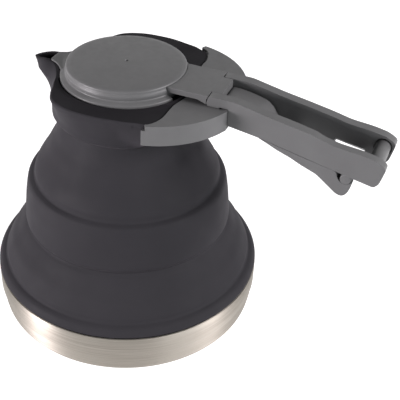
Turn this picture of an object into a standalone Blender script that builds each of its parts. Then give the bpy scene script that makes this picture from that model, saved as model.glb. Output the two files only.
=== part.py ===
"""A collapsible kettle: a steel pan, a folding silicone body in tiers, a plastic collar, lid and handle.

The frame: Z up, the pan's underside on Z = 0, the body's axis on the Z axis, handle towards +X, spout -X.
Everything is in metres. Rest is the standing kettle: body up, lid on, handle down, latch closed.
"""

import math

import bmesh
import bpy
from mathutils import Vector

MM = 0.001

# Fits
GAP = 0.3 * MM
PIN_RADIUS = 1.5 * MM
HEAD_RADIUS = 2.8 * MM
HEAD_HEIGHT = 1.6 * MM
EDGE = 0.5 * MM

# Turned body: each radius is a share of the body's radius, each height is built up from the one below
BODY_RADIUS = 102.5 * MM
TIER_share = 0.771
SHOULDER_share = 0.68
CREASE_share = 0.4634
DISC_share = 0.803
TIER_RADIUS = BODY_RADIUS * TIER_share
SHOULDER_RADIUS = BODY_RADIUS * SHOULDER_share
CREASE_RADIUS = BODY_RADIUS * CREASE_share
DISC_RADIUS = BODY_RADIUS * DISC_share
STEEL_TOP = 36.0 * MM
BASE_TIER_RISE = 13.8 * MM
LOWER_WEB_RISE = 27.7 * MM
MIDDLE_TIER_RISE = 42.5 * MM
UPPER_WEB_RISE = 44.0 * MM
NECK_RISE = 32.2 * MM
BASE_TIER_TOP = STEEL_TOP + BASE_TIER_RISE
LOWER_CREASE = BASE_TIER_TOP + LOWER_WEB_RISE
UPPER_SHOULDER = LOWER_CREASE + MIDDLE_TIER_RISE
NECK_CREASE = UPPER_SHOULDER + UPPER_WEB_RISE
NECK_TOP = NECK_CREASE + NECK_RISE
STEEL_WALL = 1.0 * MM
PAN_LIFT = 0.6 * MM
DISC_HEIGHT = 2.4 * MM
DISC_SLOPE = 2.0 * MM
SILICONE_WALL = 2.9 * MM
LIP_DEPTH = 8.0 * MM
CLAMP_WALL = 1.5 * MM

# Neck and mouth
BAND_share = 0.52
BAND_RADIUS = BODY_RADIUS * BAND_share
NECK_BACK_share = 0.493
NECK_BACK = BODY_RADIUS * NECK_BACK_share
LIP_THICKNESS = 5.5 * MM
SPOUT_DROP = 4.0 * MM
HOOP_WALL = 3.0 * MM
HOOP_HEIGHT = 7.0 * MM
HOOP_TOP = NECK_TOP - LIP_THICKNESS - GAP
HOOP_BOTTOM = HOOP_TOP - HOOP_HEIGHT
SEAT_DEPTH = 3.0 * MM
SEAT_RADIUS = NECK_BACK - SILICONE_WALL
MOUTH_RADIUS = SEAT_RADIUS - HOOP_WALL - HEAD_HEIGHT - 2 * GAP

# Collar, keeper and tongue
COLLAR_share = 0.6166
COLLAR_CENTRE_share = 0.2195
COLLAR_BACK_share = 0.803
HINGE_share = 0.7073
KEEPER_FRONT_share = 0.3512
COLLAR_STEP = 0.8 * MM
COLLAR_DEPTH = 14.5 * MM
KEEPER_RISE = 6.8 * MM
HINGE_DEPTH = 3.4 * MM
COLLAR_TOP = NECK_TOP + COLLAR_STEP
COLLAR_BOTTOM = COLLAR_TOP - COLLAR_DEPTH
COLLAR_RADIUS = BODY_RADIUS * COLLAR_share
COLLAR_CENTRE = BODY_RADIUS * COLLAR_CENTRE_share
COLLAR_BACK = BODY_RADIUS * COLLAR_BACK_share
WING_ANGLE = math.radians(57.5)
SEAM_STEPS = 10
HINGE_X = BODY_RADIUS * HINGE_share
KEEPER_TOP = NECK_TOP + KEEPER_RISE
HINGE_Z = KEEPER_TOP - HINGE_DEPTH
ROOT_RADIUS = 4.1 * MM
ROOT_CLEARANCE = 0.7 * MM
KEEPER_THICKNESS = 3.5 * MM
KEEPER_HALF = 18.2 * MM
KEEPER_FRONT = BODY_RADIUS * KEEPER_FRONT_share
KEEPER_BACK = HINGE_X - ROOT_RADIUS - ROOT_CLEARANCE
KEEPER_CLEARANCE = 0.4 * MM
FOOT_LENGTH = 6.7 * MM
FOOT_START = KEEPER_BACK - FOOT_LENGTH
CHAMFER = 1.4 * MM
BLOCK_HALF = 11.2 * MM
BLOCK_STEP = 2.4 * MM
BLOCK_BACK = HINGE_X + BLOCK_STEP
TONGUE_HALF = 10.0 * MM
TONGUE_DROP = 0.7 * MM
BOSS_HALF = 4.9 * MM
COLLAR_SCREW_ANGLE = math.radians(17)
COLLAR_SCREW_LENGTH = 12.0 * MM
KEEPER_SCREW_INSET = 3.2 * MM
KEEPER_SCREW_X = KEEPER_BACK - KEEPER_SCREW_INSET
KEEPER_SCREW_Y = 6.5 * MM
KEEPER_SCREW_HOLD = 2.0 * MM

# Handle: places and the latch's parts follow its reach from the hinge
HANDLE_REACH = 118.0 * MM
END_BAR_share = (0.9475, -0.1746)
LATCH_BAR_share = (0.7864, -0.2915)
PIVOT_share = (0.2246, -0.1102)
LATCH_BAR_RADIUS_share = 0.0288
LATCH_REACH_share = 0.6102
LUG_share = 0.0556
ARM_INNER = 11.5 * MM
ARM_OUTER = 18.8 * MM
ARM_UNDER = 1.7 * MM
PIN_HALF = 15.8 * MM
END_BAR_X = HINGE_X + HANDLE_REACH * END_BAR_share[0]
END_BAR_Z = HINGE_Z + HANDLE_REACH * END_BAR_share[1]
END_BAR_RADIUS = 6.4 * MM
LATCH_BAR_X = HINGE_X + HANDLE_REACH * LATCH_BAR_share[0]
LATCH_BAR_Z = HINGE_Z + HANDLE_REACH * LATCH_BAR_share[1]
LATCH_BAR_RADIUS = HANDLE_REACH * LATCH_BAR_RADIUS_share
EAR_INNER = 8.4 * MM

# Latch
PIVOT_X = HINGE_X + HANDLE_REACH * PIVOT_share[0]
PIVOT_Z = HINGE_Z + HANDLE_REACH * PIVOT_share[1]
LATCH_REACH = HANDLE_REACH * LATCH_REACH_share
LUG_RADIUS = LATCH_REACH * LUG_share
LUG_INNER = 5.3 * MM
LUG_OUTER = 9.9 * MM
LATCH_INNER = 12.5 * MM
LATCH_OUTER = 18.3 * MM

# Lid
FLANGE_THICKNESS = 2.6 * MM
DISC_RISE = 10.1 * MM
FLANGE_RADIUS = SEAT_RADIUS - 2 * GAP
FLANGE_BOTTOM = NECK_TOP - SEAT_DEPTH + GAP
FLANGE_TOP = FLANGE_BOTTOM + FLANGE_THICKNESS
LID_RADIUS = MOUTH_RADIUS - GAP / 2
KEEPER_HOLLOW = LID_RADIUS + KEEPER_CLEARANCE
LID_TOP = FLANGE_TOP + DISC_RISE
DOME = 1.4 * MM
SHELL_WALL = 2.2 * MM
VENT_RADIUS = 0.9 * MM
BEAK_share = 0.5561
BEAK_ROOT_share = 0.39
BEAK_ROOT_HALF_share = 0.1366
BEAK_REACH = BODY_RADIUS * BEAK_share
BEAK_ROOT = BODY_RADIUS * BEAK_ROOT_share
BEAK_ROOT_HALF = BODY_RADIUS * BEAK_ROOT_HALF_share
BEAK_HALF = 5.5 * MM
PLUG_CLEARANCE = 0.7 * MM
PLUG_DEPTH = 8.5 * MM
PLUG_RADIUS = MOUTH_RADIUS - PLUG_CLEARANCE
PLUG_BOTTOM = FLANGE_BOTTOM - PLUG_DEPTH
PLUG_WALL = 2.0 * MM
GROOVE_DEPTH = 1.2 * MM
GROOVE_HEIGHT = 3.6 * MM
GROOVE_LOW = PLUG_BOTTOM + PLUG_WALL
GROOVE_HIGH = GROOVE_LOW + GROOVE_HEIGHT

ROUND_STEPS = 64
FINE_STEPS = 40
SMALL_STEPS = 20

# Radius shares of the body's radius, height shares from the table to the steel's top
PAN_OUTER_shares = ((0.9, 0), (0.945, 0.03), (0.972, 0.1), (0.99, 0.24), (0.998, 0.4), (1, 0.52), (1, 1))
# Radius shares of the body's radius, height shares from the steel's top to the base tier's top
BASE_TIER_shares = ((0.993, 0), (0.988, 0.25), (0.974, 0.5), (0.953, 0.77), (0.93, 1))
# Shares of the way in from the first radius to the second, and of the rise
LOWER_WEB_shares = ((0, 0), (0.15, 0.145), (0.36, 0.36), (0.65, 0.58), (0.89, 0.8), (1, 1))
MIDDLE_TIER_shares = (
    (0, 0), (0.065, 0.148), (0.237, 0.53), (0.37, 0.72), (0.53, 0.84), (0.77, 0.935), (1, 1),
)
UPPER_WEB_shares = (
    (0, 0), (0.25, 0.227), (0.44, 0.386), (0.61, 0.545), (0.765, 0.69), (0.885, 0.845), (1, 1),
)

# The neck's top outline: degrees from the handle's side, and radius as a share of the body's radius
NECK_ANGLES = (
    0, 8, 15, 23, 31, 38, 42, 47, 54, 60, 67, 75,
    90, 105, 118, 127, 134, 141, 148, 154, 160, 166, 173, 180,
)
NECK_OUTLINE_shares = (
    NECK_BACK_share, 0.496, 0.504, 0.512, 0.531, 0.576, 0.612, 0.652, 0.682, 0.658, 0.643, 0.628,
    0.618, 0.622, 0.608, 0.566, 0.531, 0.518, 0.518, 0.531, 0.557, 0.602, 0.672, 0.722,
)
# Heights from the crease to the crown, and how far the wall has come out from the band to the outline
BAND_LEVEL_share = 0.157
NECK_LEVEL_shares = (0, BAND_LEVEL_share, 0.555, 0.78, 1)
NECK_FLARE_shares = (0, 0, 0.37, 0.68, 1)
COLLAR_LEVEL_share = 0.56
TROUGH_START = math.radians(139)
TROUGH_FULL = math.radians(150)
SPOUT_LOW = math.radians(168)

# Outlines seen from the side, as shares of the handle's reach from the hinge
ARM_shares = (
    (0, 0.0375), (0.123, 0.0373), (0.212, 0.0186), (0.326, -0.005), (0.453, -0.0263), (0.614, -0.0559),
    (0.725, -0.0814), (0.86, -0.0932), (0.945, -0.1093), (0.992, -0.1364), (1, -0.1542), (0.994, -0.1839),
    (0.987, -0.217), (0.975, -0.262), (0.95, -0.287), (0.932, -0.2839), (0.84, -0.2664), (0.273, -0.1486),
)
ARM_CORNER_share = -0.1212
EAR_shares = ((-0.036, 0), (-0.03, 0.119), (0.03, 0.119), (0.036, 0))
TONGUE_shares = (
    (0.0686, -0.0059), (0.1297, -0.0136), (0.1924, -0.0271), (0.2415, -0.0415), (0.2678, -0.061),
    (0.2881, -0.0822), (0.3, -0.1059), (0.3169, -0.1254), (0.2966, -0.1288), (0.2831, -0.1085),
    (0.2695, -0.0881), (0.2492, -0.0678), (0.1924, -0.0534), (0.15, -0.0534), (0.15, -0.144),
)
BOSS_shares = (
    (0.14, -0.03), (0.24, -0.047), (0.262, -0.08), (0.262, -0.13), (0.225, -0.144), (0.14, -0.144),
)

# Latch outlines, as shares of the latch's reach from its pivot
PLATE_shares = (
    (0.075, -0.068), (0.146, -0.0972), (0.2667, -0.1514), (0.3972, -0.1972), (0.4986, -0.2444),
    (0.5972, -0.2819), (0.6569, -0.3042), (0.7208, -0.3528), (0.8056, -0.4167), (0.8583, -0.4583),
    (0.9167, -0.4736), (0.9597, -0.4375), (0.9861, -0.3625), (0.9931, -0.2917), (1.0069, -0.2569),
    (0.9889, -0.2569), (0.9722, -0.3069), (0.9583, -0.3367), (0.9278, -0.3556), (0.8944, -0.3528),
    (0.8694, -0.3222), (0.8667, -0.2653), (0.8722, -0.2333), (0.75, -0.208), (0.5, -0.1583),
    (0.25, -0.106), (0.1, -0.075),
)
LUG_shares = (
    (0, -LUG_share), (0.15, -0.135), (0.33, -0.176), (0.33, -0.135), (0.16, -0.095), (0.04, 0.02),
    (0, LUG_share),
)
BRIDGE_shares = ((0.15, -0.1), (0.1556, -0.135), (0.33, -0.172), (0.33, -0.135))
PULL_shares = (
    (0.8333, -0.4306), (0.8667, -0.4583), (0.9167, -0.4681), (0.9444, -0.4333), (0.8889, -0.4125),
)


def clear_scene():
    for obj in list(bpy.data.objects):
        bpy.data.objects.remove(obj, do_unlink=True)


def collection(name):
    made = bpy.data.collections.new(name)
    bpy.context.scene.collection.children.link(made)
    return made


def material(name, colour, roughness, metallic=0.0):
    made = bpy.data.materials.new(name)
    made.use_nodes = True
    shader = made.node_tree.nodes["Principled BSDF"]
    shader.inputs["Base Color"].default_value = (*colour, 1.0)
    shader.inputs["Roughness"].default_value = roughness
    shader.inputs["Metallic"].default_value = metallic
    made.diffuse_color = (*colour, 1.0)
    return made


def add_object(name, mesh, finish=None):
    obj = bpy.data.objects.new(name, mesh)
    if finish is None:
        CUTTERS.objects.link(obj)
        obj.hide_render = True
        obj.display_type = "WIRE"
        return obj
    KETTLE.objects.link(obj)
    own = finish.copy()
    own.name = name + "_" + finish.name
    mesh.materials.append(own)
    return obj


def mesh_of(name, shape):
    bmesh.ops.recalc_face_normals(shape, faces=shape.faces)
    mesh = bpy.data.meshes.new(name)
    shape.to_mesh(mesh)
    shape.free()
    return mesh


def soften(obj, angle=math.radians(32)):
    for face in obj.data.polygons:
        face.use_smooth = True
    if len(obj.data.polygons):
        obj.data.set_sharp_from_angle(angle=angle)


def move_origin(obj, place):
    """Puts the object's origin at the given point and leaves its shape where it stands."""
    for vertex in obj.data.vertices:
        vertex.co -= Vector(place)
    obj.location = place


def area(points):
    pairs = zip(points, points[1:] + points[:1])
    return sum(a[0] * b[1] - b[0] * a[1] for a, b in pairs)


def turned(name, points, finish, steps=ROUND_STEPS):
    """A body turned about Z. The outline may start and end on the axis, or else it closes on itself."""
    if area(points) > 0:
        points = points[::-1]
    on_axis = [i for i, point in enumerate(points) if point[0] == 0]
    if on_axis:
        while not (points[0][0] == 0 and points[-1][0] == 0):
            points = points[1:] + points[:1]
    shape = bmesh.new()
    corners = [shape.verts.new((x, 0, z)) for x, z in points]
    pairs = list(zip(corners, corners[1:]))
    if not on_axis:
        pairs.append((corners[-1], corners[0]))
    for a, b in pairs:
        shape.edges.new((a, b))
    mesh = bpy.data.meshes.new(name)
    shape.to_mesh(mesh)
    shape.free()
    obj = add_object(name, mesh, finish)
    screw = obj.modifiers.new("turn", "SCREW")
    screw.steps = steps
    screw.render_steps = steps
    screw.use_smooth_shade = True
    screw.use_merge_vertices = True
    screw.merge_threshold = 0.00001
    return obj


def prism(name, outline, low, high, finish=None, upright=False):
    """A slab: the outline in X and Y between two heights, or upright in X and Z between two Y."""
    shape = bmesh.new()
    place = (lambda x, v, d: (x, d, v)) if upright else (lambda x, v, d: (x, v, d))
    corners = [shape.verts.new(place(x, v, low)) for x, v in outline]
    base = shape.faces.new(corners)
    grown = bmesh.ops.extrude_face_region(shape, geom=[base])
    lifted = [item for item in grown["geom"] if isinstance(item, bmesh.types.BMVert)]
    bmesh.ops.translate(shape, verts=lifted, vec=place(0, 0, high - low))
    return add_object(name, mesh_of(name, shape), finish)


def rod(name, radius, start, end, finish=None, steps=SMALL_STEPS, head=0.0, head_length=0.0):
    """A round rod between two points, with a wider head at its start if asked."""
    way = Vector(end) - Vector(start)
    shape = bmesh.new()
    bmesh.ops.create_cone(
        shape, cap_ends=True, segments=steps, radius1=radius, radius2=radius, depth=way.length
    )
    bmesh.ops.translate(shape, verts=shape.verts, vec=(0, 0, way.length / 2))
    if head:
        foot = min(shape.faces, key=lambda face: face.calc_center_median().z)
        grown = bmesh.ops.extrude_face_region(shape, geom=[foot])
        bmesh.ops.delete(shape, geom=[foot], context="FACES_ONLY")
        rim = [item for item in grown["geom"] if isinstance(item, bmesh.types.BMVert)]
        bmesh.ops.scale(shape, verts=rim, vec=(head / radius, head / radius, 1))
        face = [item for item in grown["geom"] if isinstance(item, bmesh.types.BMFace)]
        grown = bmesh.ops.extrude_face_region(shape, geom=face)
        bmesh.ops.delete(shape, geom=face, context="FACES_ONLY")
        rim = [item for item in grown["geom"] if isinstance(item, bmesh.types.BMVert)]
        bmesh.ops.translate(shape, verts=rim, vec=(0, 0, -head_length))
    turn = Vector((0, 0, 1)).rotation_difference(way).to_matrix()
    bmesh.ops.rotate(shape, cent=(0, 0, 0), matrix=turn, verts=shape.verts)
    bmesh.ops.translate(shape, verts=shape.verts, vec=start)
    obj = add_object(name, mesh_of(name, shape), finish)
    soften(obj)
    return obj


def across(name, radius, x, z, half, finish=None, steps=SMALL_STEPS):
    return rod(name, radius, (x, -half, z), (x, half, z), finish, steps)


def combine(obj, other, operation):
    modifier = obj.modifiers.new(operation.lower() + "_" + other.name, "BOOLEAN")
    modifier.operation = operation
    modifier.solver = "EXACT"
    modifier.object = other


def cut(obj, cutter):
    combine(obj, cutter, "DIFFERENCE")


def join(obj, other):
    combine(obj, other, "UNION")


def bevel(obj, width=EDGE, segments=1):
    modifier = obj.modifiers.new("edges", "BEVEL")
    modifier.width = width
    modifier.segments = segments
    modifier.limit_method = "ANGLE"
    modifier.angle_limit = math.radians(40)


def outline_at(shares, length, x, z):
    return [(x + length * along, z + length * up) for along, up in shares]


def line(shares, radius_low, radius_high, low, high):
    """Points from a low radius and height to a high one."""
    return [(radius_low + (radius_high - radius_low) * a, low + (high - low) * b) for a, b in shares]


def walled(outer, wall=SILICONE_WALL):
    return outer + [(x - wall, z) for x, z in reversed(outer)]


def between(value, inputs, outputs):
    """The output at a value, on straight lines between the given points."""
    for i, start in enumerate(inputs[:-1]):
        if value <= inputs[i + 1]:
            step = (value - start) / (inputs[i + 1] - start)
            return outputs[i] * (1 - step) + outputs[i + 1] * step
    return outputs[-1]


def neck_radius(angle):
    """The radius of the neck's top outline at an angle from the handle's side."""
    return BODY_RADIUS * between(abs(math.degrees(angle)), NECK_ANGLES, NECK_OUTLINE_shares)


def ease(value, start, end):
    step = min(max((value - start) / (end - start), 0), 1)
    return step * step * (3 - 2 * step)


def neck_section(angle):
    """One section of the neck's wall, lip and lid seat, as radius and height."""
    top = neck_radius(angle)
    crown = NECK_TOP - SPOUT_DROP * ease(abs(angle), TROUGH_FULL, SPOUT_LOW)
    rise = crown - NECK_CREASE - GAP
    # Behind the seam the wall stands upright inside the collar
    upright = 1 - ease(abs(angle), math.radians(52), math.radians(72))
    open_share = ease(abs(angle), TROUGH_START, TROUGH_FULL)

    def wall(height):
        level = (height - NECK_CREASE - GAP) / rise
        free = between(level, (0, BAND_LEVEL_share), (CREASE_RADIUS, BAND_RADIUS))
        free += (top - BAND_RADIUS) * between(level, NECK_LEVEL_shares, NECK_FLARE_shares)
        held = CREASE_RADIUS + (top - CREASE_RADIUS) * min(level / COLLAR_LEVEL_share, 1)
        return free * (1 - upright) + held * upright

    def lip(radius, height):
        return (radius * (1 - open_share) + (wall(height) - SILICONE_WALL) * open_share, height)

    heights = [NECK_CREASE + GAP + rise * level for level in NECK_LEVEL_shares]
    outer = [(wall(height), height) for height in heights]
    seat = crown - SEAT_DEPTH
    below = crown - LIP_THICKNESS
    rim = [lip(SEAT_RADIUS, crown), lip(SEAT_RADIUS, seat), lip(MOUTH_RADIUS, seat - GAP * open_share)]
    rim.append(lip(MOUTH_RADIUS, below + GAP * open_share))
    inner = [(wall(height) - SILICONE_WALL, height) for height in [below] + heights[2::-1]]
    return outer + rim + inner


def make_base():
    edge = line(PAN_OUTER_shares, 0, BODY_RADIUS, PAN_LIFT, STEEL_TOP)
    recess = DISC_HEIGHT + GAP
    outer = [(0, recess), (DISC_RADIUS + GAP, recess), (DISC_RADIUS + GAP, PAN_LIFT)] + edge
    inside = [(x - STEEL_WALL, max(z, PAN_LIFT + STEEL_WALL)) for x, z in edge[::-1]]
    inside[-2:] = [(edge[1][0] - STEEL_WALL, PAN_LIFT + STEEL_WALL + GAP)]
    floor = recess + STEEL_WALL
    foot = PAN_LIFT + STEEL_WALL
    step = [(DISC_RADIUS + DISC_SLOPE + GAP, foot), (DISC_RADIUS - DISC_SLOPE, floor), (0, floor)]
    turned("steel_base_pan", outer + inside + step, STEEL)
    disc = [(0, 0), (DISC_RADIUS - EDGE, 0), (DISC_RADIUS, EDGE)]
    disc += [(DISC_RADIUS, DISC_HEIGHT), (0, DISC_HEIGHT)]
    turned("base_heat_disc", disc, ALUMINIUM)
    start = STEEL_TOP + GAP
    tier = [(BODY_RADIUS * a, start + (BASE_TIER_TOP - start) * b) for a, b in BASE_TIER_shares]
    lip_outer = BODY_RADIUS - STEEL_WALL - GAP
    lip_inner = lip_outer - SILICONE_WALL
    inner = [(x - SILICONE_WALL, z) for x, z in tier[:1:-1]]
    low = start - LIP_DEPTH
    lip = [(lip_inner, start), (lip_inner, low), (lip_outer, low), (lip_outer, start)]
    turned("silicone_base_tier", tier + inner + lip, SILICONE)
    ring_outer = lip_inner - GAP
    ring = [(ring_outer, low), (ring_outer, start)]
    turned("base_clamp_ring", walled(ring, CLAMP_WALL), STEEL)


def make_folds():
    base_top = BODY_RADIUS * BASE_TIER_shares[-1][0]
    lower = line(LOWER_WEB_shares, base_top, TIER_RADIUS + GAP, BASE_TIER_TOP + GAP, LOWER_CREASE)
    turned("silicone_lower_web", walled(lower), SILICONE)
    tier = line(MIDDLE_TIER_shares, TIER_RADIUS, SHOULDER_RADIUS, LOWER_CREASE + GAP, UPPER_SHOULDER - GAP)
    turned("silicone_middle_tier", walled(tier), SILICONE)
    upper = line(UPPER_WEB_shares, SHOULDER_RADIUS, CREASE_RADIUS, UPPER_SHOULDER, NECK_CREASE)
    turned("silicone_upper_web", walled(upper), SILICONE)


def make_neck():
    shape = bmesh.new()
    rings = []
    turn = 2 * math.pi / ROUND_STEPS
    for i in range(ROUND_STEPS):
        angle = turn * i
        angle = angle - 2 * math.pi if angle > math.pi else angle
        side = Vector((math.cos(angle), math.sin(angle), 0))
        rings.append([shape.verts.new(side * x + Vector((0, 0, z))) for x, z in neck_section(angle)])
    for ring, after in zip(rings, rings[1:] + rings[:1]):
        for j in range(len(ring)):
            k = (j + 1) % len(ring)
            shape.faces.new((ring[j], after[j], after[k], ring[k]))
    obj = add_object("silicone_neck", mesh_of("silicone_neck", shape), SILICONE)
    soften(obj, math.radians(40))
    hoop_outer = SEAT_RADIUS - GAP
    hoop = [(hoop_outer, HOOP_BOTTOM), (hoop_outer, HOOP_TOP)]
    ring = turned("neck_stiffener_ring", walled(hoop, HOOP_WALL), PLASTIC, FINE_STEPS)
    return obj, ring


def collar_outline():
    half = []
    steps = 14
    for i in range(SEAM_STEPS + 1):
        angle = 2 * math.pi * i / ROUND_STEPS
        radius = neck_radius(angle) + GAP
        half.append((radius * math.cos(angle), radius * math.sin(angle)))
    tip = COLLAR_CENTRE * math.cos(WING_ANGLE)
    reach = tip + math.sqrt(tip**2 + COLLAR_RADIUS**2 - COLLAR_CENTRE**2)
    start = math.atan2(reach * math.sin(WING_ANGLE), reach * math.cos(WING_ANGLE) - COLLAR_CENTRE)
    end = math.acos((COLLAR_BACK - COLLAR_CENTRE) / COLLAR_RADIUS)
    for i in range(steps + 1):
        angle = start + (end - start) * i / steps
        half.append((COLLAR_CENTRE + COLLAR_RADIUS * math.cos(angle), COLLAR_RADIUS * math.sin(angle)))
    return half + [(x, -y) for x, y in reversed(half) if y > 0]


def make_collar(neck, ring):
    collar = prism("collar", collar_outline(), COLLAR_BOTTOM, COLLAR_TOP, PLASTIC)
    bevel(collar)
    hinge_cut = across("hinge_recess", ROOT_RADIUS + GAP, HINGE_X, HINGE_Z, ARM_OUTER + GAP)
    cut(collar, hinge_cut)
    front = BLOCK_BACK + GAP
    tongue = outline_at(TONGUE_shares, HANDLE_REACH, HINGE_X, HINGE_Z)
    tongue += [(front, tongue[-1][1]), (front, HINGE_Z - TONGUE_DROP)]
    tongue = prism("tongue_shape", tongue, -TONGUE_HALF, TONGUE_HALF, upright=True)
    boss = outline_at(BOSS_shares, HANDLE_REACH, HINGE_X, HINGE_Z)
    boss = prism("boss_shape", boss, -BOSS_HALF, BOSS_HALF, upright=True)
    join(collar, tongue)
    join(collar, boss)
    cut(collar, across("pivot_hole", PIN_RADIUS + GAP, PIVOT_X, PIVOT_Z, TONGUE_HALF))
    across("latch_pivot_pin", PIN_RADIUS, PIVOT_X, PIVOT_Z, LUG_OUTER, STEEL)

    under = KEEPER_TOP - KEEPER_THICKNESS
    plate = [
        (KEEPER_FRONT, under), (FOOT_START, under), (KEEPER_BACK, COLLAR_TOP + GAP),
        (KEEPER_BACK, KEEPER_TOP - CHAMFER), (KEEPER_BACK - CHAMFER, KEEPER_TOP), (KEEPER_FRONT, KEEPER_TOP),
    ]
    keeper = prism("lid_keeper_plate", plate, -KEEPER_HALF, KEEPER_HALF, PLASTIC, upright=True)
    bevel(keeper)
    foot = COLLAR_TOP + GAP
    block = [(FOOT_START, foot), (BLOCK_BACK, foot), (BLOCK_BACK, KEEPER_TOP), (FOOT_START, KEEPER_TOP - GAP)]
    join(keeper, prism("block_shape", block, -BLOCK_HALF, BLOCK_HALF, upright=True))
    fine = 2 * ROUND_STEPS
    cut(keeper, rod("lid_clearance", KEEPER_HOLLOW, (0, 0, FLANGE_BOTTOM), (0, 0, LID_TOP), steps=fine))
    cut(keeper, across("hinge_hole", PIN_RADIUS + GAP, HINGE_X, HINGE_Z, ARM_OUTER))
    across("handle_hinge_pin", PIN_RADIUS, HINGE_X, HINGE_Z, PIN_HALF, STEEL)

    for i, side in enumerate((-1, 1), start=1):
        low = (KEEPER_SCREW_X, side * KEEPER_SCREW_Y, COLLAR_BOTTOM)
        high = (KEEPER_SCREW_X, side * KEEPER_SCREW_Y, COLLAR_TOP + KEEPER_SCREW_HOLD)
        rod(f"keeper_screw_{i}", PIN_RADIUS, low, high, STEEL, head=HEAD_RADIUS, head_length=HEAD_HEIGHT)
        below = (low[0], low[1], low[2] - HEAD_HEIGHT)
        above = (high[0], high[1], high[2] + GAP)
        hole = rod(f"keeper_hole_{i}", PIN_RADIUS + GAP, below, above)
        cut(collar, hole)
        cut(keeper, hole)
        way = Vector((math.cos(COLLAR_SCREW_ANGLE), side * math.sin(COLLAR_SCREW_ANGLE), 0))
        lift = Vector((0, 0, (HOOP_BOTTOM + HOOP_TOP) / 2))
        start = way * (SEAT_RADIUS - HOOP_WALL - 2 * GAP) + lift
        end = start + way * COLLAR_SCREW_LENGTH
        rod(f"collar_screw_{i}", PIN_RADIUS, start, end, STEEL, head=HEAD_RADIUS, head_length=HEAD_HEIGHT)
        hole = rod(f"collar_hole_{i}", PIN_RADIUS + GAP, start - way * HEAD_HEIGHT, end + way * GAP)
        for piece in (collar, neck, ring):
            cut(piece, hole)


def make_handle():
    hinge = (HINGE_X, 0, HINGE_Z)
    outline = outline_at(ARM_shares, HANDLE_REACH, HINGE_X, HINGE_Z)
    front = COLLAR_BACK + GAP
    under = HINGE_Z - ARM_UNDER
    outline += [(front, HINGE_Z + HANDLE_REACH * ARM_CORNER_share), (front, under)]
    outline.append((HINGE_X + ROOT_RADIUS, under))
    steps = 8
    for i in range(steps - 1):
        angle = math.radians(-75) - (math.pi - math.radians(15)) * i / (steps - 2)
        outline.append((HINGE_X + ROOT_RADIUS * math.cos(angle), HINGE_Z + ROOT_RADIUS * math.sin(angle)))
    for name, side in (("handle_arm_left", -1), ("handle_arm_right", 1)):
        low, high = sorted((side * ARM_INNER, side * ARM_OUTER))
        arm = prism(name, outline, low, high, PLASTIC, upright=True)
        bevel(arm, EDGE * 2)
        cut(arm, across(name + "_root_hole", PIN_RADIUS + GAP, HINGE_X, HINGE_Z, PIN_HALF + GAP))
        cut(arm, across(name + "_end_hole", PIN_RADIUS + GAP, END_BAR_X, END_BAR_Z, PIN_HALF + GAP))
        move_origin(arm, hinge)
    inner = ARM_INNER - GAP
    bar = across("handle_end_bar", END_BAR_RADIUS, END_BAR_X, END_BAR_Z, inner, PLASTIC, FINE_STEPS)
    cut(bar, across("end_bar_hole", PIN_RADIUS + GAP, END_BAR_X, END_BAR_Z, ARM_OUTER))
    move_origin(bar, hinge)
    pin = across("handle_end_pin", PIN_RADIUS, END_BAR_X, END_BAR_Z, PIN_HALF, STEEL)
    move_origin(pin, hinge)
    catch = across("latch_bar", LATCH_BAR_RADIUS, LATCH_BAR_X, LATCH_BAR_Z, LATCH_OUTER, STEEL, FINE_STEPS)
    for name, side in (("left", -1), ("right", 1)):
        low, high = sorted((side * EAR_INNER, side * inner))
        ear = outline_at(EAR_shares, HANDLE_REACH, LATCH_BAR_X, LATCH_BAR_Z)
        join(catch, prism(name + "_ear_shape", ear, low, high, upright=True))
    move_origin(catch, hinge)


def make_latch():
    pivot = (PIVOT_X, 0, PIVOT_Z)
    plate = outline_at(PLATE_shares, LATCH_REACH, PIVOT_X, PIVOT_Z)
    latch = prism("latch_frame", plate, -LATCH_OUTER, -LATCH_INNER, LATCH, upright=True)
    bevel(latch)
    join(latch, prism("latch_plate_right_shape", plate, LATCH_INNER, LATCH_OUTER, upright=True))
    bridge = outline_at(BRIDGE_shares, LATCH_REACH, PIVOT_X, PIVOT_Z)
    reach = (LATCH_INNER + LATCH_OUTER) / 2
    join(latch, prism("latch_bridge_shape", bridge, -reach, reach, upright=True))
    pull = outline_at(PULL_shares, LATCH_REACH, PIVOT_X, PIVOT_Z)
    join(latch, prism("latch_pull_shape", pull, -reach, reach, upright=True))
    lug = outline_at(LUG_shares, LATCH_REACH, PIVOT_X, PIVOT_Z)
    steps = 6
    for i in range(1, steps):
        angle = math.pi / 2 + math.pi * i / steps
        lug.append((PIVOT_X + LUG_RADIUS * math.cos(angle), PIVOT_Z + LUG_RADIUS * math.sin(angle)))
    for name, side in (("left", -1), ("right", 1)):
        low, high = sorted((side * LUG_INNER, side * LUG_OUTER))
        join(latch, prism(name + "_lug_shape", lug, low, high, upright=True))
    cut(latch, across("lug_hole", PIN_RADIUS + GAP, PIVOT_X, PIVOT_Z, LATCH_OUTER))
    move_origin(latch, pivot)


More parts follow.
